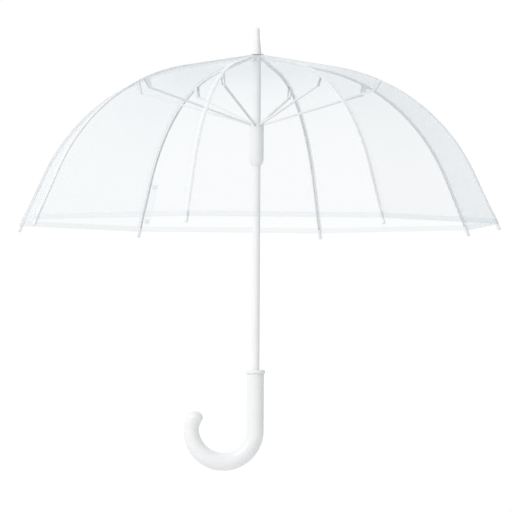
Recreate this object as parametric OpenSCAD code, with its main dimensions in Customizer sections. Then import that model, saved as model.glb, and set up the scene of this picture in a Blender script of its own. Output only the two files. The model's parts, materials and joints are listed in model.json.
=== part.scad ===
// Clear bubble umbrella, open. Eight curved ribs hinge in a crown at the top of
// the shaft; eight stretchers join them to a runner that slides on the shaft.
// Origin: centre of the straight grip, on the shaft axis. +Z up the shaft.

/* [Canopy] */
// Length of a rib along its curve
rib_len = 555; // [540:1:570]
// Slope of a rib where it leaves the crown, in degrees
slope_in = 9.5; // [8:0.5:11]
// Slope of a rib at its tip, in degrees
slope_out = 64.5; // [62:0.5:66]
// Straight length of a rib next to the crown
flat_in = 133; // [120:1:140]
// Straight length of a rib next to its tip
flat_out = 100; // [90:1:110]
// Direction of the first rib, turned from +X, in degrees
first_rib = -15.6; // [-22:0.1:22]
// Thickness of the film
film_t = 0.3; // [0.3:0.05:0.5]

/* [Shaft and handle] */
// Height of the ribs at the crown, above the middle of the grip
crown_z = 604; // [590:1:620]
// Outer diameter of the shaft tube
shaft_d = 14; // [14:0.1:14.2]
// Diameter of the straight grip
grip_d = 30; // [28:0.5:32]
// Length of the straight grip
grip_len = 98; // [94:1:104]
// Radius of the crook, along the middle of its bar
hook_r = 55.5; // [52:0.5:58]

/* [Linkage] */
// Distance of the hinge pins from the shaft axis, at crown and runner
hinge_r = 10.5; // [10.5:0.1:10.8]
// Drop from a rib's middle to its hinge pin at the crown
eye_drop = 3.5; // [3:0.1:4]
// Distance along a rib to its stretcher joint
joint_s = 214; // [205:1:220]
// Depth of the stretcher joint's pin below the rib
joint_hang = 18.8; // [17:0.1:20]
// Angle through which the ribs fold, in degrees
fold = 53; // [45:1:53]

/* [Hidden] */
RIBS = 8;
$fn = 48;
function numbered(name) = [for (i = [1:RIBS]) str(name, i)];

// Running and standing clearances
run = 0.1;
gap = 0.3;
fit = 0.02;
eps = 0.01;

// Rib and stretcher sections: pressed channels, open downwards
rib_w = 4;
rib_h = 3.2;
bar_w = 3.4;
bar_h = 3;
sheet = 0.8;
tab_t = 2.4;
tab_r = 1.8;
tab_len = 5.5;

// Wire rings, rivets and the stop pin
wire_r = 0.7;
ring_bore = 0.75;
eye_bore = 0.85;
rivet_r = 1;
rivet_head_r = 1.9;
rivet_head_t = 0.8;
stop_pin_r = 1.25;

// The rib's curve: straight, round arc, straight. x outwards, z up.
arc_len = rib_len - flat_in - flat_out;
arc_r = arc_len / ((slope_out - slope_in) * PI / 180);
function slope(s) =
    s < flat_in ? slope_in
    : s > flat_in + arc_len ? slope_out
    : slope_in + (slope_out - slope_in) * (s - flat_in) / arc_len;
function along(p, a, d) = [p.x + d * cos(a), p.y - d * sin(a)];
function outward(p, a, d) = [p.x + d * sin(a), p.y + d * cos(a)];
rib_start = [hinge_r, crown_z];
arc_start = along(rib_start, slope_in, flat_in);
arc_mid = outward(arc_start, slope_in, -arc_r);
arc_end = outward(arc_mid, slope_out, arc_r);
function rib_point(s) =
    s < flat_in ? along(rib_start, slope_in, s)
    : s > flat_in + arc_len ? along(arc_end, slope_out, s - flat_in - arc_len)
    : outward(arc_mid, slope(s), arc_r);
arc_steps = 24;
arc_s = [for (k = [0:arc_steps]) flat_in + arc_len * k / arc_steps];
rib_s = concat([tab_len], arc_s, [rib_len]);

// Bracket of the stretcher joint, clinched to the rib
bracket_len = 10;
bracket_rise = 0.8;
bracket_gap = 0.1;
ear_r = 2.4;

// The linkage: crown pin, joint pin and runner pin make two equal sides
crown_pin = [hinge_r, crown_z - eye_drop];
joint_pin = outward(rib_point(joint_s), slope(joint_s), -joint_hang);
runner_pin = [hinge_r, 2 * joint_pin.y - crown_pin.y];
bar_len = norm(joint_pin - runner_pin);
bar_rise = atan2(joint_pin.y - runner_pin.y, joint_pin.x - runner_pin.x);
travel = 2 * bar_len * (sin(bar_rise + fold) - sin(bar_rise));

// Shaft
shaft_r = shaft_d / 2;
tube_r = shaft_r - 0.8;
shaft_low = -20;
shaft_high = crown_z + 4;

// Crown and runner
hub_r = 8.2;
body_r = 12.5;
slot_w = tab_t + 2 * gap;
crown_low = crown_z - 8;
crown_high = crown_z + 1.2;
runner_high = runner_pin.y + 1.8;
runner_low = runner_high - 72;
runner_taper = 9;
runner_foot_r = 9.5;
window_w = 5;
window_h = 12;
window_low = runner_low + 10;
stop_pin_z = runner_high + stop_pin_r + 0.35;

// Catches and their windows in the tube
catch_w = 4;
catch_y = 9.4;
catch_room = 0.6;
catch_window_h = 12.6;
top_catch_z = runner_low - gap;
bottom_catch_z = window_low - travel + 0.5;

// Ferrule and washer
washer_t = 1.2;
washer_r = 11;
washer_low = shaft_high - washer_t;
ferrule_high = crown_z + 50.5;
ferrule_plug = 18;
ferrule_base_r = 7.4;
ferrule_base_h = 3;
ferrule_tip_r = 4.5;
ferrule_pin_len = 10;

// Handle: grip, collar, half circle, and a short free arm with a knob. The bar
// starts inside the grip's end, swells to the bottom and slims to the arm.
collar_h = 7;
collar_r = 17;
grip_r = grip_d / 2;
root_r = grip_r - gap;
bottom_r = 15.8;
arm_r = 12.8;
arm_len = 20;
arm_lean = 5;
knob_r = 15;
knob_len = 13;
bend_steps = 24;
bar_sides = 32;

// Rib tips: a sleeve with a ball
tip_r = 3;
tip_back = 12;
tip_front = 5;
tip_ball_r = 3.5;

// Canopy film, flat on the ribs and then lifted over the tip sleeves
half_gore = 180 / RIBS;
seat = rib_w / 2 + 0.2;
film_over_rib = rib_h / 2 + gap;
film_over_tip = tip_r + gap;
film_start_s = -2.2;
film_edge_s = rib_len - 2;
lift_from = rib_len - 34;
lift_len = 16;

// Closure strap under the film, alongside the fourth rib, with a snap half at each end
strap_len = 84;
strap_w = 12;
strap_t = 0.4;
strap_s = 454;
strap_gap = 0.8;
strap_beside = 4;
snap_r = 4.5;
snap_t = 1.4;
snap_ends = [8, strap_len - 8];

function azimuth(i) = first_rib + (i - 1) * 360 / RIBS;
module at_rib(i) { rotate([0, 0, azimuth(i)]) children(); }
module on_rib(s) {
    p = rib_point(s);
    translate([p.x, 0, p.y]) rotate([0, slope(s), 0]) children();
}
module across(h, r) { rotate([90, 0, 0]) cylinder(h = h, r = r, center = true); }
module plate(t) { rotate([90, 0, 0]) linear_extrude(t, center = true) children(); }
module lengthways(l) { rotate([90, 0, 90]) linear_extrude(l) children(); }
module channel(w, h, t) {
    difference() {
        square([w, h], center = true);
        translate([0, -t]) square([w - 2 * t, h], center = true);
    }
}
module wire(bore) { rotate_extrude() translate([hinge_r, 0]) circle(bore, $fn = 24); }
module slots(low, high) {
    for (i = [1:RIBS]) at_rib(i)
        translate([hub_r, -slot_w / 2, low]) cube([body_r, slot_w, high - low]);
}
module catch_window(low)
    translate([-window_w / 2, shaft_r / 2, low]) cube([window_w, shaft_r, catch_window_h]);
function ease(t) = t * t * (3 - 2 * t);

// A solid through rings of points, each ring with the same number of sides
module sweep(rings, sides, caps) {
    last = (len(rings) - 1) * sides;
    polyhedron(
        points = [for (r = rings) each r],
        faces = concat(
            caps,
            [for (cap = caps) [for (k = [len(cap) - 1:-1:0]) last + cap[k]]],
            [for (j = [0:len(rings) - 2], k = [0:sides - 1]) let (m = (k + 1) % sides)
                each [[j * sides + k, (j + 1) * sides + k, (j + 1) * sides + m],
                      [j * sides + k, (j + 1) * sides + m, j * sides + m]]]));
}

module shaft_tube() color("white") difference() {
    translate([0, 0, shaft_low]) cylinder(h = shaft_high - shaft_low, r = shaft_r);
    translate([0, 0, shaft_low - 1]) cylinder(h = shaft_high - shaft_low + 2, r = tube_r);
    translate([0, 0, stop_pin_z])
        rotate([0, 90, 0]) cylinder(h = 4 * shaft_r, r = stop_pin_r + fit, center = true);
    catch_window(top_catch_z + catch_room - catch_window_h);
    catch_window(bottom_catch_z - catch_room);
}

module ferrule() color("white") rotate_extrude() polygon(concat(
    [[0, shaft_high - ferrule_plug], [tube_r - 0.5, shaft_high - ferrule_plug],
     [tube_r - fit, shaft_high - ferrule_plug + 1], [tube_r - fit, shaft_high],
     [ferrule_base_r, shaft_high], [ferrule_base_r, shaft_high + ferrule_base_h],
     [ferrule_tip_r, ferrule_high - ferrule_tip_r - ferrule_pin_len]],
    [for (a = [0:15:90]) [ferrule_tip_r * cos(a),
                          ferrule_high - ferrule_tip_r + ferrule_tip_r * sin(a)]]));

module top_washer() color("white") translate([0, 0, washer_low]) difference() {
    cylinder(h = washer_t, r = washer_r);
    translate([0, 0, -1]) cylinder(h = washer_t + 2, r = shaft_r + fit);
}

module crown() color("white") difference() {
    translate([0, 0, crown_low]) cylinder(h = crown_high - crown_low, r = body_r);
    translate([0, 0, crown_low - 1])
        cylinder(h = crown_high - crown_low + 2, r = shaft_r + fit);
    slots(crown_low - 1, crown_high + 1);
    translate([0, 0, crown_pin.y]) wire(ring_bore);
}

module crown_ring() color("silver") translate([0, 0, crown_pin.y]) wire(wire_r);

module stop_pin() color("silver") translate([0, 0, stop_pin_z])
    rotate([0, 90, 0]) cylinder(h = 2 * hub_r, r = stop_pin_r, center = true);

// A sprung nose with a bent leg inside the tube. up = 1 has its square face on
// top, up = -1 has it underneath.
module catch_strip(z, up) {
    translate([0, 0, z]) scale([1, 1, up]) rotate([90, 0, 90])
        linear_extrude(catch_w, center = true) polygon([
            [catch_y, 0], [catch_y, -2], [5.4, -9], [5.4, -11], [-1.6, -32], [-3, -32],
            [-3, -31], [3.4, -11], [3.4, 0]]);
}
module top_catch() color("silver") catch_strip(top_catch_z, 1);
module bottom_catch() color("silver") catch_strip(bottom_catch_z, -1);

function bar_r(b) =
    b < 90 ? root_r + (bottom_r - root_r) * sin(b) : arm_r + (bottom_r - arm_r) * sin(b);
// Each station of the bar is a centre [x, z], the bend so far and the bar's radius
crook_stations = concat(
    [[[0, 2 - grip_len / 2], 0, root_r]],
    [for (k = [0:bend_steps]) let (b = 180 * k / bend_steps)
        [[hook_r * (cos(b) - 1), -grip_len / 2 - hook_r * sin(b)], b, bar_r(b)]],
    [for (t = [0.2:0.2:1])
        [[-2 * hook_r + arm_lean * t * t, -grip_len / 2 + arm_len * t], 180,
         arm_r + (knob_r - arm_r) * ease(t)]],
    [for (a = [15:15:75])
        [[-2 * hook_r + arm_lean, -grip_len / 2 + arm_len + knob_len * sin(a)], 180,
         knob_r * cos(a)]]);
function crook_ring(mid, bend, r) = [for (k = [0:bar_sides - 1]) let (a = 360 * k / bar_sides)
    [mid.x + r * cos(a) * cos(bend), -r * sin(a), mid.y - r * cos(a) * sin(bend)]];

module handle() color("white") {
    difference() {
        rotate_extrude() polygon([
            [0, -grip_len / 2], [grip_r, -grip_len / 2], [grip_r, grip_len / 2 - 1],
            [grip_r - 1, grip_len / 2], [0, grip_len / 2]]);
        translate([0, 0, shaft_low - 2]) cylinder(h = grip_len, r = shaft_r + fit);
    }
    sweep([for (st = crook_stations) crook_ring(st[0], st[1], st[2])], bar_sides,
          [[for (k = [0:bar_sides - 1]) k]]);
}

module handle_collar() color("white") translate([0, 0, grip_len / 2]) rotate_extrude()
    polygon([[shaft_r + fit, 0], [collar_r - 0.8, 0], [collar_r, 0.8],
             [collar_r, collar_h - 1.6], [collar_r - 1.6, collar_h],
             [shaft_r + fit, collar_h]]);

module runner() color("white") difference() {
    rotate_extrude() polygon([
        [shaft_r + run, runner_low], [runner_foot_r, runner_low],
        [body_r, runner_low + runner_taper], [body_r, runner_high - 0.6],
        [body_r - 0.6, runner_high], [shaft_r + run, runner_high]]);
    slots(runner_pin.y - 2.2, runner_high + 1);
    translate([0, 0, runner_pin.y]) wire(ring_bore);
    translate([-window_w / 2, 5, window_low]) cube([window_w, 10, window_h]);
}

module runner_ring() color("silver") translate([0, 0, runner_pin.y]) wire(wire_r);

function strip(low, high) = concat(
    [for (s = rib_s) outward(rib_point(s), slope(s), high)],
    [for (k = [len(rib_s) - 1:-1:0]) outward(rib_point(rib_s[k]), slope(rib_s[k]), low)]);

module rib(i) color("white") at_rib(i) {
    difference() {
        plate(rib_w) polygon(strip(-rib_h / 2, rib_h / 2));
        plate(rib_w - 2 * sheet) polygon(strip(-rib_h, rib_h / 2 - sheet));
    }
    difference() {
        union() {
            translate([crown_pin.x, 0, crown_pin.y]) across(tab_t, tab_r);
            plate(tab_t) polygon([
                [crown_pin.x - tab_r, crown_pin.y],
                outward(along(rib_start, slope_in, -1.2), slope_in, rib_h / 2 - 0.6),
                outward(rib_start, slope_in, rib_h / 2),
                outward(along(rib_start, slope_in, tab_len + 3), slope_in, rib_h / 2),
                outward(along(rib_start, slope_in, tab_len + 3), slope_in, -rib_h / 2),
                [crown_pin.x + tab_r, crown_pin.y]]);
        }
        translate([crown_pin.x, 0, crown_pin.y]) across(2 * tab_t, eye_bore);
    }
}

// Bracket with the rivet that carries the stretcher
module rib_joint(i) color("white") at_rib(i) on_rib(joint_s) {
    for (side = [-1, 1]) translate([0, side * (rib_w + sheet) / 2, 0]) difference() {
        plate(sheet) union() {
            polygon([[-bracket_len / 2, bracket_rise], [bracket_len / 2, bracket_rise],
                     [bracket_len / 2, -rib_h / 2], [ear_r, -joint_hang],
                     [-ear_r, -joint_hang], [-bracket_len / 2, -rib_h / 2]]);
            translate([0, -joint_hang]) circle(ear_r);
        }
        translate([0, 0, -joint_hang]) across(3 * sheet, rivet_r + fit);
    }
    translate([-bracket_len / 2, -rib_w / 2 - eps, -rib_h / 2 - bracket_gap - sheet])
        cube([bracket_len, rib_w + 2 * eps, sheet]);
    translate([0, 0, -joint_hang]) {
        across(rib_w + 2 * sheet + rivet_head_t, rivet_r);
        for (side = [-1, 1]) translate([0, side * (rib_w + 2 * sheet + rivet_head_t) / 2, 0])
            across(rivet_head_t, rivet_head_r);
    }
}

module rib_tip(i) color("white") at_rib(i) on_rib(rib_len) {
    difference() {
        translate([-tip_back, 0, 0]) rotate([0, 90, 0])
            cylinder(h = tip_back + tip_front, r = tip_r);
        translate([-tip_back - 1, -rib_w / 2 - fit, -rib_h / 2 - fit])
            cube([tip_back + 1 + 2 * eps, rib_w + 2 * fit, rib_h + 2 * fit]);
    }
    translate([tip_front, 0, 0]) sphere(tip_ball_r);
}

module stretcher(i) color("white") at_rib(i)
    translate([runner_pin.x, 0, runner_pin.y]) rotate([0, -bar_rise, 0]) {
        difference() {
            union() {
                across(tab_t, tab_r);
                translate([0, -tab_t / 2, -tab_r]) cube([tab_len + 1, tab_t, 2 * tab_r]);
            }
            across(2 * tab_t, eye_bore);
        }
        translate([tab_len, 0, 0]) lengthways(bar_len - 2 * tab_len)
            channel(bar_w, bar_h, sheet);
        difference() {
            union() {
                translate([bar_len, 0, 0]) across(bar_w, 2);
                translate([bar_len - tab_len - eps, -bar_w / 2, -bar_h / 2])
                    cube([tab_len + eps, bar_w, bar_h]);
            }
            translate([bar_len, 0, 0]) across(2 * bar_w, rivet_r + 0.05);
        }
    }

// Film: a flat seat on each rib, then straight to the crease in the middle of the
// gore, so a panel is one rib's seam with half a gore on either side of it.
film_s = concat([film_start_s, flat_in / 2], arc_s,
                [lift_from, lift_from + lift_len / 2, lift_from + lift_len, film_edge_s]);
function film_height(s) = film_over_rib
    + (film_over_tip - film_over_rib) * ease(min(1, max(0, (s - lift_from) / lift_len)));
function film_at(s, v) = outward(rib_point(s), slope(s), film_height(s) + v);
function film_row(p, side) = let (half = p.x * sin(half_gore) - gap / 2)
    [[p.x - half * sin(half_gore), side * half * cos(half_gore), p.y],
     [p.x, side * seat, p.y]];
function film_ring(s) = let (top = film_at(s, film_t), low = film_at(s, 0))
    [film_row(top, 1)[0], film_row(top, 1)[1], film_row(top, -1)[1], film_row(top, -1)[0],
     film_row(low, -1)[0], film_row(low, -1)[1], film_row(low, 1)[1], film_row(low, 1)[0]];

module canopy_panel(i) color("lightcyan", 0.4) at_rib(i)
    sweep([for (s = film_s) film_ring(s)], 8, [[0, 1, 6, 7], [1, 2, 5, 6], [2, 3, 4, 5]]);

// On the film beside the fourth rib: x runs down along the rib, and the film lies
// on the side of negative y, in its own slanted plane.
module on_film_side() {
    p = film_at(strap_s, 0);
    steep = atan(tan(slope_out) / cos(half_gore));
    lean = asin(cos(slope_out) * sin(half_gore));
    at_rib(4) rotate([0, 0, -half_gore])
        translate([p.x * cos(half_gore), p.x * sin(half_gore), p.y])
        rotate([0, steep, 0]) rotate([0, 0, lean]) children();
}
module closure_strap() color("lightcyan", 0.6) on_film_side()
    translate([0, -strap_beside - strap_w, -strap_gap - strap_t])
        cube([strap_len, strap_w, strap_t]);
module strap_snap() color("lightcyan") on_film_side() for (end = snap_ends)
    translate([end, -strap_beside - strap_w / 2, -strap_gap - strap_t - snap_t])
        cylinder(h = snap_t, r = snap_r);

shaft_tube();
ferrule();
top_washer();
crown();
crown_ring();
stop_pin();
top_catch();
bottom_catch();
handle();
handle_collar();
runner();
runner_ring();
for (i = [1:RIBS]) {
    rib(i);
    rib_joint(i);
    rib_tip(i);
    stretcher(i);
    canopy_panel(i);
}
closure_strap();
strap_snap();
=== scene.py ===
# %% [markdown]
# # A clear bubble umbrella
# The metal and plastic parts arrive from the CAD model as a fixed frame: shaft, ribs, stretchers,
# runner, crown and tips. This lesson adds what that model leaves plain: the clear film with its
# welds and hem, the moulded crook, and every finish. Nothing from the frame is moved or resized,
# so each new piece takes its place from the frame's own boxes and hinges.

# %% Load the frame
import json
from math import atan2, cos, hypot, pi, radians, sin

import bpy
from mathutils import Matrix, Vector


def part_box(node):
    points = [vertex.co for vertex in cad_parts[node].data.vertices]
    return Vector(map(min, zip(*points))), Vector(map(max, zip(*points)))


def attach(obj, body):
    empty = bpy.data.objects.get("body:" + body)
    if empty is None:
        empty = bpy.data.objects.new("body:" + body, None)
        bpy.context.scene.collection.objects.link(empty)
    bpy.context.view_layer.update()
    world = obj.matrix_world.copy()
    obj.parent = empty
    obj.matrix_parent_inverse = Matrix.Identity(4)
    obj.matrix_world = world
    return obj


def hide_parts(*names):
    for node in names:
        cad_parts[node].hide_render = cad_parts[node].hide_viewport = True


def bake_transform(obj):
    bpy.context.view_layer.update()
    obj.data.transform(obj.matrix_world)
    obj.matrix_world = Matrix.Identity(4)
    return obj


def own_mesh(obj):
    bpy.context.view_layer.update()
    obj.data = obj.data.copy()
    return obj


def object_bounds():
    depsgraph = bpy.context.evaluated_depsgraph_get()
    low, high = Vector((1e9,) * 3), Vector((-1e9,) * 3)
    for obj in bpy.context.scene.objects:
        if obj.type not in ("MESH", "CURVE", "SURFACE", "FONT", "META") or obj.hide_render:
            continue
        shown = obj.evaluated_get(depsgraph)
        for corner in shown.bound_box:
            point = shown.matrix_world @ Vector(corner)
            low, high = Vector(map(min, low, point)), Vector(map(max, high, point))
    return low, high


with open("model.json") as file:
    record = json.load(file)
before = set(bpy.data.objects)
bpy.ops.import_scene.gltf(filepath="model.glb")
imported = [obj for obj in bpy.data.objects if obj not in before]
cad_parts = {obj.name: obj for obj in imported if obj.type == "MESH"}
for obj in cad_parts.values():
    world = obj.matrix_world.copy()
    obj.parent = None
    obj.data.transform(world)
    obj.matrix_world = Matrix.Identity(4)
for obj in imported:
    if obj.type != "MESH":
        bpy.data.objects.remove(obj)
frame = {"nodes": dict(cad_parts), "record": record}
cad_low, cad_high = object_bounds()
print("CAD box", [round(v, 3) for v in cad_low], [round(v, 3) for v in cad_high])

# %% [markdown]
# ## Camera
# The umbrella is seen from a long way off, from a little below the hem, so that the far hem shows
# under the near one. A short lens close by would frame it too, but it would stretch the ribs that
# point forwards. A long lens nearly removes that. A slight roll gives the shaft the small lean
# that a hand-held umbrella has.

# %% Place the camera
VIEW_DISTANCE = 9.5
VIEW_WIDTH = 0.893
EYE_HEIGHT = -0.026
AIM_HEIGHT = 0.2545
CAMERA_ROLL = radians(0.3)
SENSOR = 36

camera = bpy.data.objects.new("camera", bpy.data.cameras.new("camera"))
bpy.context.scene.collection.objects.link(camera)
bpy.context.scene.camera = camera
camera.data.sensor_width = SENSOR
camera.data.lens = SENSOR * VIEW_DISTANCE / VIEW_WIDTH
camera.data.clip_end = 100
eye = Vector((0, -VIEW_DISTANCE, EYE_HEIGHT))
aim = Vector((0, 0, AIM_HEIGHT))
roll = Matrix.Rotation(CAMERA_ROLL, 4, "Z").to_quaternion()
turn = (aim - eye).to_track_quat("-Z", "Y") @ roll
camera.matrix_world = Matrix.Translation(eye) @ turn.to_matrix().to_4x4()
print("lens", round(camera.data.lens), "mm")

# %% [markdown]
# ## Light
# Clear film shows only against what is behind it and in what it mirrors, so the room matters more
# here than the lamps do. Dark cards round the umbrella would draw its edges, but they would also
# show through the film. A room that grows dimmer to one side is simpler and stays out of sight:
# the white parts keep a shaded edge on their right, and the film shows as a faint cool tint.
#
# Light normally gives up after eight see-through surfaces and turns black. Folded film has many
# more than eight, so the limit is raised.

# %% A room that dims to the right
ROOM_BRIGHT, ROOM_DIM = 1.02, 0.42
DIMS_FROM, DIMMEST_AT = 0.05, 0.9
SEE_THROUGH_LIMIT = 64

world = bpy.data.worlds.new("room")
bpy.context.scene.world = world
world.use_nodes = True
nodes, links = world.node_tree.nodes, world.node_tree.links
nodes.clear()
direction = nodes.new("ShaderNodeTexCoord")
split = nodes.new("ShaderNodeSeparateXYZ")
side_light = nodes.new("ShaderNodeMapRange")
side_light.inputs["From Min"].default_value = DIMS_FROM
side_light.inputs["From Max"].default_value = DIMMEST_AT
side_light.inputs["To Min"].default_value = ROOM_BRIGHT
side_light.inputs["To Max"].default_value = ROOM_DIM
backdrop = nodes.new("ShaderNodeBackground")
backdrop.inputs["Color"].default_value = (1, 1, 1, 1)
room_out = nodes.new("ShaderNodeOutputWorld")
links.new(direction.outputs["Generated"], split.inputs[0])
links.new(split.outputs["X"], side_light.inputs["Value"])
links.new(side_light.outputs[0], backdrop.inputs["Strength"])
links.new(backdrop.outputs[0], room_out.inputs["Surface"])
bpy.context.scene.view_settings.view_transform = "Standard"
bpy.context.scene.cycles.transparent_max_bounces = SEE_THROUGH_LIMIT
print("room strength", ROOM_BRIGHT, "down to", ROOM_DIM)

# %% [markdown]
# An even room leaves the gloss on the crook and the ribs with nothing to mirror. One big soft
# lamp, high on the left and in front, gives them their highlights. A disk over two metres across
# keeps its shadows too soft to see.

# %% One soft lamp, high on the left
LAMP_SIZE, LAMP_WATTS = 2.4, 40
LIT_POINT = Vector((0, 0, 0.3))

lamp = bpy.data.objects.new("soft_lamp", bpy.data.lights.new("soft_lamp", "AREA"))
bpy.context.scene.collection.objects.link(lamp)
lamp.data.shape = "DISK"
lamp.data.size = LAMP_SIZE
lamp.data.energy = LAMP_WATTS
lamp.location = (-2.6, -2.8, 2.6)
lamp.rotation_euler = (LIT_POINT - lamp.location).to_track_quat("-Z", "Y").to_euler()
print("lamp", LAMP_WATTS, "W,", round((LIT_POINT - lamp.location).length, 2), "m away")

# %% [markdown]
# ## Finishes
# The hard parts have four: glossy moulded plastic, white paint over steel, bright zinc wire, and
# the clear snap. The film has three: single, doubled, and welded. A picture wrapped round them
# could carry their grain, but it blurs close up. Noise at the size of the real grain stays sharp
# at any distance, so every finish starts from the same few helpers.

# %% A short way to make a material
def material(name, colour, roughness, alpha=1.0):
    made = bpy.data.materials.new(name)
    made.use_nodes = True
    surface = made.node_tree.nodes["Principled BSDF"]
    surface.inputs["Base Color"].default_value = (*colour, 1)
    surface.inputs["Roughness"].default_value = roughness
    surface.inputs["Alpha"].default_value = alpha
    made.diffuse_color = (*colour, alpha)
    return made, surface


def add(made, kind, **inputs):
    """Add a shader node. An input's name has _ where Blender's has a space."""
    node = made.node_tree.nodes.new("ShaderNode" + kind)
    for key, value in inputs.items():
        node.inputs[key.replace("_", " ")].default_value = value
    return node


def join(made, out, into):
    made.node_tree.links.new(out, into)


# %% Noise, and three ways to use it
def noise(made, size, stretch=(1, 1, 1), detail=3.0):
    """Noise whose grains are about size metres across, pulled out along an axis by stretch."""
    place = add(made, "TexCoord")
    mapping = add(made, "Mapping")
    mapping.inputs["Scale"].default_value = [1 / (size * s) for s in stretch]
    grain = add(made, "TexNoise", Scale=1.0, Detail=detail, Roughness=0.55)
    join(made, place.outputs["Object"], mapping.inputs["Vector"])
    join(made, mapping.outputs[0], grain.inputs["Vector"])
    return grain.outputs["Fac"]


NOISE_LOW, NOISE_HIGH = 0.3, 0.7


def vary(made, source, low, high, socket):
    """Spread a noise between two values of a socket."""
    spread = add(made, "MapRange", From_Min=NOISE_LOW, From_Max=NOISE_HIGH,
                 To_Min=low, To_Max=high)
    join(made, source, spread.inputs["Value"])
    join(made, spread.outputs[0], socket)


def tint(made, source, low, high, socket):
    """Spread a noise between two colours."""
    ramp = add(made, "ValToRGB")
    for stop, place, colour in zip(ramp.color_ramp.elements, (NOISE_LOW, NOISE_HIGH), (low, high)):
        stop.position = place
        stop.color = (*colour, 1)
    join(made, source, ramp.inputs["Fac"])
    join(made, ramp.outputs["Color"], socket)


def bump(made, source, height, surface):
    """Raise the surface by a noise, height metres from low to high."""
    raised = add(made, "Bump", Strength=1.0, Distance=height)
    join(made, source, raised.inputs["Height"])
    join(made, raised.outputs[0], surface.inputs["Normal"])


# %% [markdown]
# ### Moulded plastic
# The handle, its collar, the runner, crown, washer, ferrule and rib tips are moulded white
# plastic. It is never quite flat: it ripples over a few millimetres where it shrank, and its
# gloss wanders. A smooth white shader would look like a drawing of it. One noise moves the
# roughness and another makes a bump of microns, under a thin clear coat for the shine that a
# polished mould leaves.

# %% White moulded plastic
white_plastic, surface = material("white_plastic", (0.87, 0.875, 0.88), 0.2)
tint(white_plastic, noise(white_plastic, 0.03), (0.86, 0.865, 0.87), (0.885, 0.89, 0.895),
     surface.inputs["Base Color"])
vary(white_plastic, noise(white_plastic, 0.012), 0.16, 0.27, surface.inputs["Roughness"])
bump(white_plastic, noise(white_plastic, 0.006, detail=1), 0.00004, surface)
surface.inputs["Coat Weight"].default_value = 0.35
surface.inputs["Coat Roughness"].default_value = 0.08
print("white_plastic,", len(white_plastic.node_tree.nodes), "nodes")

# %% [markdown]
# ### Painted steel
# The shaft, ribs, joints and stretchers are thin steel under white powder paint. Powder melts
# into a fine orange-peel, drawn out along the part, and it is duller than the plastic. The same
# recipe serves with smaller grain, a higher roughness and a weaker coat.

# %% White paint over steel
white_steel, surface = material("white_steel", (0.89, 0.895, 0.9), 0.32)
tint(white_steel, noise(white_steel, 0.02, (1, 1, 4)), (0.87, 0.875, 0.88), (0.91, 0.915, 0.92),
     surface.inputs["Base Color"])
vary(white_steel, noise(white_steel, 0.004, (1, 1, 3)), 0.24, 0.4, surface.inputs["Roughness"])
bump(white_steel, noise(white_steel, 0.0011, (1, 1, 2)), 0.000012, surface)
surface.inputs["Coat Weight"].default_value = 0.2
surface.inputs["Coat Roughness"].default_value = 0.15
print("white_steel,", len(white_steel.node_tree.nodes), "nodes")

# %% [markdown]
# ### Zinc wire
# The two rings, the stop pin and the catches are bare zinc-plated steel. Plating has a fine
# mottle, and drawing the wire leaves streaks along it. Brushed metal is often made with the
# shader's anisotropy, but at this size long thin noise in the roughness gives the same look.

# %% Bright zinc on wire, pin and catches
bright_wire, surface = material("bright_wire", (0.72, 0.73, 0.75), 0.3)
surface.inputs["Metallic"].default_value = 1.0
tint(bright_wire, noise(bright_wire, 0.0015), (0.6, 0.61, 0.64), (0.78, 0.79, 0.8),
     surface.inputs["Base Color"])
vary(bright_wire, noise(bright_wire, 0.0006, (1, 1, 6)), 0.2, 0.42, surface.inputs["Roughness"])
bump(bright_wire, noise(bright_wire, 0.0004, (1, 1, 8)), 0.000008, surface)
print("bright_wire,", len(bright_wire.node_tree.nodes), "nodes")

# %% [markdown]
# ### Clear film
# Soft clear film could be glass with refraction, but thin film hardly bends light, and glass
# would cast dark shadows. A see-through surface is truer: it lets most light by and keeps a cool
# tint that thickens where it is seen edge-on. That tint is partly the film's own and partly
# painted reflection: it is painted darker and greyer to stand for the dim room the film mirrors.
# Faint waves, longer down the canopy than across it, make its reflections wander. Doubled film is
# the same and tints more. A weld is painted near white: partly its milkiness, partly painted
# light for the lit rib under it and the highlight along the seam.

# %% Clear film: single, doubled and welded
EDGE_POWER = 3.0
# The film's colour: a faint cool tint of its own, darkened by painted reflection of the dim room.
FILM_TINT_AND_PAINTED_REFLECTION = (0.43, 0.56, 0.64), (0.47, 0.59, 0.66)
# The weld's colour: near white, partly its milkiness and partly painted light for the lit rib and
# seam highlight.
WELD_MILK_AND_PAINTED_LIGHT = (0.92, 0.94, 0.96), (0.97, 0.98, 0.99)


def film_material(name, face_alpha, edge_alpha, low, high):
    made, surface = material(name, high, 0.07, face_alpha)
    tint(made, noise(made, 0.16), low, high, surface.inputs["Base Color"])
    vary(made, noise(made, 0.05), 0.04, 0.13, surface.inputs["Roughness"])
    bump(made, noise(made, 0.07, (1, 1, 2.5), detail=2), 0.0009, surface)
    facing = add(made, "LayerWeight", Blend=0.5)
    steep = add(made, "Math")
    steep.operation = "POWER"
    steep.inputs[1].default_value = EDGE_POWER
    thicken = add(made, "MapRange", To_Min=face_alpha, To_Max=edge_alpha)
    join(made, facing.outputs["Facing"], steep.inputs[0])
    join(made, steep.outputs[0], thicken.inputs["Value"])
    join(made, thicken.outputs[0], surface.inputs["Alpha"])
    surface.inputs["Specular IOR Level"].default_value = 0.6
    print(name + ", opacity", face_alpha, "face-on and", edge_alpha, "edge-on")
    return made


clear_film = film_material("clear_film", 0.034, 0.25, *FILM_TINT_AND_PAINTED_REFLECTION)
double_film = film_material("double_film", 0.1, 0.34, *FILM_TINT_AND_PAINTED_REFLECTION)
welded_film = film_material("welded_film", 0.3, 0.5, *WELD_MILK_AND_PAINTED_LIGHT)

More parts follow.
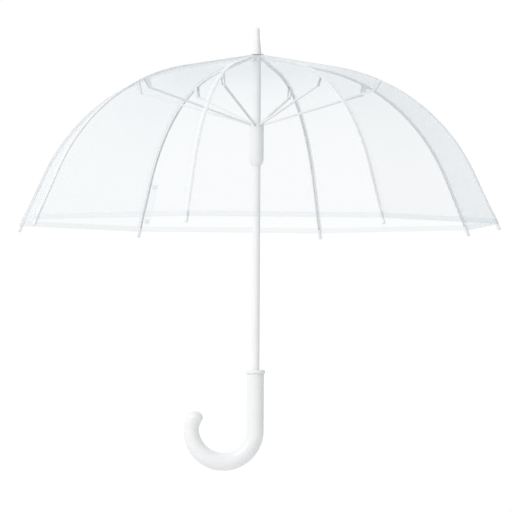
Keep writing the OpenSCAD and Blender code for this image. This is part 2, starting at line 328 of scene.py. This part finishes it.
# %% [markdown]
# ### Clear snap
# The strap's snap is a small moulding of hard clear plastic. It is thick for its size and
# scatters light inside, so half opacity with a finely frosted face suits it better than film.

# %% Clear snap
clear_snap, surface = material("clear_snap", (0.93, 0.95, 0.97), 0.2, 0.5)
vary(clear_snap, noise(clear_snap, 0.002), 0.15, 0.3, surface.inputs["Roughness"])
bump(clear_snap, noise(clear_snap, 0.001), 0.00002, surface)
print("clear_snap,", len(clear_snap.node_tree.nodes), "nodes")

# %% [markdown]
# ### Finish the frame
# Each CAD node names a slot in the record, so one table finishes them all, and no node can be
# left plain. In the film's slot only the snap will still show: the pieces of this lesson replace
# the panels and the strap.

# %% Give every CAD node its finish
FINISH_OF_SLOT = {"white_plastic": white_plastic, "white_steel": white_steel,
                  "bright_wire": bright_wire, "clear_film": clear_snap}
for row in frame["record"]["subparts"]:
    mesh = frame["nodes"][row["node"]].data
    mesh.materials.clear()
    mesh.materials.append(FINISH_OF_SLOT[row["material_slot"]])

# %% [markdown]
# ## Meshes from rings
# The crook, the film and the strap all run through a row of stations. A curve with a bevel would
# do for the crook and a plane with Solidify for the film, but the crook's thickness follows its
# bend and the film's steps at every weld. One helper that joins rings of points gives all three
# their exact sections. Edges sharper than forty degrees stay crisp, so a thin edge doesn't shade
# the wide face beside it.

# %% Build a closed skin through rings of points
SHARP_FROM = radians(40)


def skin(name, rings, finishes, body, thin=False, which=None):
    """Join rings of points into a closed piece that rides on a body, or on none yet.

    A thin piece's rings run over its top and back underneath, so its ends close in a strip.
    which(j, k) gives the number of the finish for face k after ring j, where there are several.
    """
    count = len(rings[0])
    points = [p for ring in rings for p in ring]
    faces = []
    for j in range(len(rings) - 1):
        for k in range(count):
            m = (k + 1) % count
            a, b = j * count, (j + 1) * count
            faces.append((a + k, b + k, b + m, a + m))
    last = (len(rings) - 1) * count
    if thin:
        for k in range(count // 2 - 1):
            near = (k, k + 1, count - 2 - k, count - 1 - k)
            faces.append(near)
            faces.append(tuple(last + n for n in reversed(near)))
    else:
        faces.append(tuple(range(count)))
        faces.append(tuple(last + k for k in reversed(range(count))))
    mesh = bpy.data.meshes.new(name)
    mesh.from_pydata(points, [], faces)
    mesh.validate()
    for finish in finishes:
        mesh.materials.append(finish)
    if which:
        for face in mesh.polygons:
            j, k = divmod(face.index, count)
            face.material_index = which(j, k) if j < len(rings) - 1 else 0
    mesh.shade_smooth()
    mesh.set_sharp_from_angle(angle=SHARP_FROM)
    piece = bpy.data.objects.new(name, mesh)
    bpy.context.scene.collection.objects.link(piece)
    if body:
        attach(piece, body)
    return piece


# %% [markdown]
# ## The crook
# The real handle is one plastic moulding: a straight grip, half a circle, and a short slimmer arm
# with a swollen end. Subdividing a rough shape would round it off by guesswork, so the bar is
# lofted through rings whose radius follows the same rules as the frame's, only more finely.

# %% The crook's sizes
MM = 0.001
collar_low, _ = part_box("handle_collar")
grip_top, grip_end = collar_low.z, -49 * MM
grip_r, arm_r = 15 * MM, 12.8 * MM
grip_edge = 1.2 * MM
hook_r = 55.5 * MM
grip_swell, arm_swell = 0.8 * MM, 3 * MM
arm_len, knob_len, arm_lean = 20 * MM, 13 * MM, 5 * MM


def ease(t):
    """0 to 1, slow at both ends."""
    return t * t * (3 - 2 * t)


def bar_r(bend):
    """The bar's radius in the bend: fullest half-way round, then slimming to the arm."""
    if bend < 90:
        return grip_r + grip_swell * sin(radians(bend))
    return arm_r + arm_swell * sin(radians(bend))


print("grip", round((grip_top - grip_end) / MM), "mm long")

# %% The crook's line
def crook_stations():
    """(x, z, bend in degrees, radius) down the grip, round the bend and up the arm."""
    found = [(0, grip_top, 0, grip_r - grip_edge)]
    for step in range(1, 5):
        a = radians(22.5 * step)
        found.append((0, grip_top - grip_edge * (1 - cos(a)), 0,
                      grip_r - grip_edge * (1 - sin(a))))
    found += [(0, grip_top + (grip_end - grip_top) * t / 12, 0, grip_r) for t in range(1, 12)]
    for bend in range(0, 181, 3):
        a = radians(bend)
        found.append((hook_r * (cos(a) - 1), grip_end - hook_r * sin(a), bend, bar_r(bend)))
    for step in range(1, 11):
        t = step / 10
        found.append((-2 * hook_r + arm_lean * t * t, grip_end + arm_len * t, 180,
                      arm_r + (grip_r - arm_r) * ease(t)))
    for step in range(1, 12):
        a = radians(8 * step)
        found.append((-2 * hook_r + arm_lean, grip_end + arm_len + knob_len * sin(a), 180,
                      grip_r * cos(a)))
    return found


print("crook", len(crook_stations()), "stations")

# %% Loft the crook
CROOK_SIDES = 64


def crook_ring(x, z, bend, radius):
    a = radians(bend)
    around = [2 * pi * k / CROOK_SIDES for k in range(CROOK_SIDES)]
    return [(x + radius * cos(t) * cos(a), -radius * sin(t), z - radius * cos(t) * sin(a))
            for t in around]


crook = skin("crook_handle", [crook_ring(*s) for s in crook_stations()], [white_plastic],
             "frame")
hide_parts("handle")
print("crook", len(crook.data.vertices), "points")

# %% [markdown]
# ## The rib's curve
# Film follows the ribs, so their curve comes first. A rib is a steel strip bent in three stretches:
# straight from the crown, a round arc, and straight again to the tip. Sampling the ribs' meshes
# would give the same line with noise in it. Writing it as a formula keeps it smooth, and the
# crown's hinge in the frame says where it starts.

# %% The curve that every rib follows
joints = {j["name"]: j for j in frame["record"]["behaviour"]["joints"]}
hinge = Vector(joints["canopy_fold"]["pos_m"])
hinge_x = hypot(hinge.x, hinge.y)
rib_len = 555 * MM
flat_in, flat_out = 133 * MM, 100 * MM
slope_in, slope_out = radians(9.5), radians(64.5)
above_hinge = 3.5 * MM
rib_start = (hinge_x, hinge.z + above_hinge)
arc_len = rib_len - flat_in - flat_out
arc_r = arc_len / (slope_out - slope_in)


def clamp(t):
    return min(1, max(0, t))


def slope(s):
    """How steeply a rib falls at s metres from the crown, in radians."""
    return slope_in + (slope_out - slope_in) * clamp((s - flat_in) / arc_len)


def rib_point(s, out=0.0):
    """(distance from the axis, height) of a point s along a rib and out beyond its middle."""
    a = slope(s)
    before = min(s, flat_in)
    after = max(0, s - flat_in - arc_len)
    x = rib_start[0] + before * cos(slope_in) + arc_r * (sin(a) - sin(slope_in))
    z = rib_start[1] - before * sin(slope_in) - arc_r * (cos(slope_in) - cos(a))
    return x + after * cos(a) + out * sin(a), z - after * sin(a) + out * cos(a)


tip_x, tip_z = rib_point(rib_len)
print("rib tips at", round(tip_x, 4), round(tip_z, 4), "m")

# %% Turn from the first rib to any other
RIBS = 8
first_rib = atan2(hinge.y, hinge.x)
half_gore = pi / RIBS


def rib_turn(i):
    return Matrix.Rotation(first_rib + (i - 1) * 2 * half_gore, 3, "Z")


print("ribs every", 360 / RIBS, "degrees")

# %% [markdown]
# ## The film
# The canopy is one sheet, welded from eight flat gores. Between two ribs it is pulled nearly
# straight, drawn in a few millimetres where the ribs arch, and it puckers finely beside the tips.
# Cloth simulation would suit film that hangs, but film stretched on ribs hardly moves, and a
# formula keeps its edges exact.
#
# When the umbrella folds, each gore creases down its middle. So the sheet is built from each
# rib's seam out to the two creases, and down the rib in bands. Open, the bands meet edge to edge.

# %% [markdown]
# ### Where a point of the film lies
# Three lengths name every point: how far down the rib, how far across from it, and how far above
# the film's underside. Vertices could be placed and nudged by hand, but one function from those
# lengths to a place lets neighbouring bands share their edges exactly. It starts with the height
# over the rib's middle: the film rests on the rib, then climbs over the round cap at its tip.

# %% How high the film lies over a rib, and over its tip
over_rib, over_tip = 1.9 * MM, 3.3 * MM
film_start, film_end = -2.2 * MM, rib_len - 2 * MM
lift_from, lift_len = rib_len - 34 * MM, 16 * MM


def film_height(s):
    return over_rib + (over_tip - over_rib) * ease(clamp((s - lift_from) / lift_len))


print("film runs", round((film_end - film_start) / MM), "mm down each rib")

# %% From three lengths to a place
seat = 2.2 * MM
draw_in = 3.5 * MM
pucker, pucker_reach, PUCKERS = 0.6 * MM, 90 * MM, 3
crease_gap = 0.05 * MM
least_run = 0.1 * MM


def film_point(s, across, above):
    """A point of the film, for a rib that points along X.

    s runs down the rib and across to one side of it, both in metres, and above is the height
    over the film's underside. The film lies flat on the rib's seat, then runs to mid-gore.
    """
    x, z = rib_point(s, film_height(s) + above)
    side = -1 if across < 0 else 1
    beside = max(0, abs(across) - seat)
    share = min(1, beside / max(least_run, x * sin(half_gore) - crease_gap - seat))
    from_rib = 1 - (1 - share) ** 2
    sag = draw_in * from_rib * sin(pi * clamp(s / rib_len)) ** 1.5
    near_hem = max(0, 1 - (rib_len - s) / pucker_reach)
    wave = (1 - cos(2 * PUCKERS * pi * share)) / 2
    sag += pucker * near_hem ** 2 * wave * (1 - share) ** 2
    turned = half_gore * side
    a = slope(s)
    px = x - beside * sin(half_gore) - sag * sin(a) * cos(turned)
    py = side * (min(abs(across), seat) + beside * cos(half_gore)) - sag * sin(a) * sin(turned)
    return px, py, z - sag * cos(a)


middle_of_hem = film_point(film_end, tip_x * sin(half_gore), 0)
print("mid-gore, the hem lies", round((tip_x - middle_of_hem[0]) / MM), "mm inside the tips")

# %% [markdown]
# ### Welds, hem and patch
# Where two gores meet, their edges are welded into one strip of double thickness over each rib.
# The hem is folded under once and welded too, and a round patch doubles the film at the crown,
# where the ribs' eyes would wear it through. Loose layers laid on each other would flicker where
# they touch. A weld really makes one piece of two, so these are thicker stretches of the same
# skin, with a small step at their edge.

# %% Columns across the film: seat, weld, step, then an even run to the crease
film_t = 0.25 * MM
flank = 3.2 * MM
weld_half, weld_step = 4.5 * MM, 0.3 * MM
WELD_COLUMNS = 3
least_side = 0.05 * MM
CROWDED = 1.5


def crease_at(s, above):
    """How far across the film the crease lies: the seat, then a straight run to mid-gore."""
    x, _ = rib_point(s, film_height(s) + above)
    middle = (x * sin(half_gore) - seat * cos(half_gore)) - crease_gap
    return seat + max(least_side, middle)


def film_columns(s, above, steps):
    """Distances across the film. Near the crown the weld has no room, and they are even."""
    edge = crease_at(s, above)
    close = [seat, flank, weld_half, weld_half + weld_step]
    if edge < CROWDED * close[-1]:
        close = [edge * k / (len(close) + 1) for k in range(1, len(close) + 1)]
    return [0] + close + [close[-1] + (edge - close[-1]) * k / steps for k in range(1, steps + 1)]


print("a gore is", round(2 * crease_at(film_end, 0) / MM), "mm wide at the hem")

# %% One ring round the film's section
def film_ring(i, s, steps, patched, hemmed):
    """A closed ring over the film's top and back underneath.

    Patch and weld are doubled upwards, and the hem is doubled downwards, where it is folded.
    """
    turn = rib_turn(i)

    def row(under):
        found = []
        for n in range(len(film_columns(s, 0, steps))):
            welded = patched or n <= WELD_COLUMNS
            above = (-film_t if hemmed else 0) if under else film_t * (2 if welded else 1)
            across = film_columns(s, above, steps)[n]
            found.append((turn @ Vector(film_point(s, across, above)),
                          turn @ Vector(film_point(s, -across, above))))
        return [p[1] for p in reversed(found[1:])] + [p[0] for p in found]

    return list(reversed(row(False))) + row(True)


FILM_STEPS = 9
print("a ring of film has", len(film_ring(1, film_end, FILM_STEPS, False, False)), "points")

# %% [markdown]
# ### Bands that fold
# How narrow a band has to fold follows from the ribs: as they swing down, a point of a rib comes
# closer to the shaft, and the gore beside it narrows in the same proportion. Bands of equal
# length would step badly near the tips, so a new band starts wherever that proportion has dropped
# by a sixth, and sooner only where a band has grown long.

# %% How much each band flattens
fold = radians(joints["canopy_fold"]["range_deg"][1])
least_share = 0.06


def closed_share(s):
    """The rib's distance from the axis at s when folded, as a share of its open distance."""
    x, z = rib_point(s)
    folded = hinge_x + (x - hinge_x) * cos(fold) + (z - hinge.z) * sin(fold)
    return max(least_share, folded / x)


print("folded, the film keeps", round(closed_share(film_end), 2), "of its width at the hem")

# %% Where each band ends
crown_edge = 24 * MM
longest_band, shortest_band, search_step = 64 * MM, 12 * MM, 1 * MM
band_drop = 5 / 6

band_ends = [crown_edge]
s = crown_edge
while s < film_end:
    s += search_step
    far_enough = closed_share(s) < band_drop * closed_share(band_ends[-1])
    if far_enough or s - band_ends[-1] >= longest_band:
        band_ends.append(s)
if film_end - band_ends[-1] < shortest_band:
    band_ends.pop()
band_ends.append(film_end)
bands = list(zip(band_ends, band_ends[1:]))
print(len(bands), "bands on each rib, below the crown's")

# %% [markdown]
# ### Cut sizes
# A sheet also has a size from before it was stretched. That could be measured off the mesh,
# but the welds and the pucker would blur it. The distance from crease to crease, summed down the
# band, is what a cutter would mark out on flat film.

# %% A flat width, length and area for each piece of film
hem_w, hem_step = 10 * MM, 0.3 * MM
patch_edge = band_ends[1]
FLAT_STEPS = 40


def flat_size(s_from, s_to):
    step = (s_to - s_from) / FLAT_STEPS
    stations = [s_from + (s_to - s_from) * k / FLAT_STEPS for k in range(FLAT_STEPS + 1)]
    widths = [2 * crease_at(s, 0) for s in stations]
    area = sum((a + b) / 2 for a, b in zip(widths, widths[1:])) * step
    return max(widths), s_to - s_from, area


print("a finished gore is", round(flat_size(0, film_end)[2], 3), "square metres")

# %% [markdown]
# ### One band, then all of them
# A band on a rib rides on that rib. The one round the crown can't: its inner edge is clamped
# under the washer, so it is left on no body. Each band keeps a hair less than its rib's share of
# width. Between the ribs the film lies further in than they do, so when the umbrella is fully
# closed neighbouring bands cross, and most near the hem.

# %% Make one band of film
SINGLE, DOUBLE, WELDED = 0, 1, 2
FILM_FINISHES = [clear_film, double_film, welded_film]
row_len = 7 * MM


def film_piece(name, i, s_from, s_to, steps=FILM_STEPS, on_crown=False):
    """A closed band of film on rib i. Gives back its flat area."""
    patched = s_to <= patch_edge
    last = s_to >= film_end
    flat_to = s_to - hem_w - hem_step if last else s_to
    rows = max(2, round((flat_to - s_from) / row_len))
    stations = [s_from + (flat_to - s_from) * k / rows for k in range(rows + 1)]
    if last:
        stations += [s_to - hem_w, s_to - hem_w / 2, s_to]
    rings = [film_ring(i, s, steps, patched, last and s > flat_to) for s in stations]
    width_count = len(rings[0]) // 2
    middle = width_count // 2

    def finish_of(j, k):
        on_top = k % width_count
        column = min(abs(on_top - middle), abs(on_top + 1 - middle))
        if patched or (last and j >= rows):
            return DOUBLE
        return WELDED if column < WELD_COLUMNS else SINGLE

    rib = f"rib_{i}"
    piece = skin(name, rings, FILM_FINISHES, None if on_crown else rib,
                 thin=True, which=finish_of)
    width, length, area = flat_size(s_from, s_to)
    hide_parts(f"canopy_panel_{i}")
    if on_crown:
        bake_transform(piece)
    else:
        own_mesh(piece)
    return area


# %% Stretch the film over the ribs
CROWN_STEPS = 3

total_area = 0.0
for i in range(1, RIBS + 1):
    total_area += film_piece(f"film_{i}_0", i, film_start, crown_edge, CROWN_STEPS, on_crown=True)
    for n, (a, b) in enumerate(bands, 1):
        total_area += film_piece(f"film_{i}_{n}", i, a, b)
print("film", round(total_area, 3), "square metres, hem", round(hem_w / MM), "mm")

# %% [markdown]
# ## The closure strap
# A strap of the same film wraps round the closed umbrella. Open, it lies under the film beside
# the fourth rib, held at its two snap halves and bowed a little between them. A plane bent by a
# modifier would need matching to the slanted film, so its sections are laid straight along the
# film's own directions: down the rib, and level along the gore.

# %% The plane of the film beside the strap's rib
STRAP_RIB = 4
strap_s, strap_beside, strap_gap = 454 * MM, 4 * MM, 0.8 * MM

strap_turn = rib_turn(STRAP_RIB)
root_x, root_z = rib_point(strap_s, over_rib)
root = strap_turn @ Vector((root_x, 0, root_z))
down = strap_turn @ Vector((cos(slope_out), 0, -sin(slope_out)))
chord = strap_turn @ Vector((-sin(half_gore), -cos(half_gore), 0))
inwards = chord.cross(down).normalized()
if inwards.z > 0:
    inwards = -inwards
beside = (chord - down * chord.dot(down)).normalized()
print("strap starts", round(root.z, 3), "m up, on rib", STRAP_RIB)

# %% Lay the strap
strap_len, strap_w, strap_t = 84 * MM, 12 * MM, 0.4 * MM
strap_bow, blunt_end = 1.2 * MM, 1 * MM
STRAP_COLUMNS = 6


def strap_ring(u):
    """A flat section of the strap at u metres from its root, narrower at the rounded ends."""
    end = min(u, strap_len - u)
    corner = strap_w / 2
    half = corner if end >= corner else (corner ** 2 - (corner - end) ** 2) ** 0.5
    half = max(half, blunt_end)
    depth = strap_gap + strap_bow * sin(pi * u / strap_len) ** 2
    middle = root + down * u + beside * (strap_beside + strap_w / 2) + inwards * depth
    across = [half * (2 * k / STRAP_COLUMNS - 1) for k in range(STRAP_COLUMNS + 1)]
    top = [middle + beside * c for c in reversed(across)]
    under = [middle + beside * c + inwards * strap_t for c in across]
    return top + under


strap_u = [0, 0.4 * MM, 1 * MM, 2 * MM, 4 * MM]
strap_u += [strap_len * k / 20 for k in range(2, 19)]
strap_u += [strap_len - u for u in reversed(strap_u[:5])]
strap = skin("strap", [strap_ring(u) for u in strap_u], [clear_film], f"rib_{STRAP_RIB}",
             thin=True)
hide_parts("closure_strap")
print("strap", round(strap_len / MM), "by", round(strap_w / MM), "mm")

# %% [markdown]
# ## Floor
# The umbrella hangs in the air as if held, so the floor isn't there to stand on. Without one,
# clear film seen from above would be white on white. A pale floor well below it gives the film
# something to show against, and from the camera's low eye it ends below the frame.

# %% A pale floor, not part of the umbrella
FLOOR_HALF, FLOOR_DROP = 20.0, 0.5

floor_z = cad_low.z - FLOOR_DROP
corner_signs = [(-1, -1), (1, -1), (1, 1), (-1, 1)]
floor_mesh = bpy.data.meshes.new("floor")
floor_mesh.from_pydata([(x * FLOOR_HALF, y * FLOOR_HALF, floor_z) for x, y in corner_signs], [],
                       [(0, 1, 2, 3)])
pale_floor, _ = material("pale_floor", (0.87, 0.875, 0.88), 0.8)
floor_mesh.materials.append(pale_floor)
floor = bpy.data.objects.new("floor", floor_mesh)
bpy.context.scene.collection.objects.link(floor)
print("floor at", round(floor_z, 3), "m")
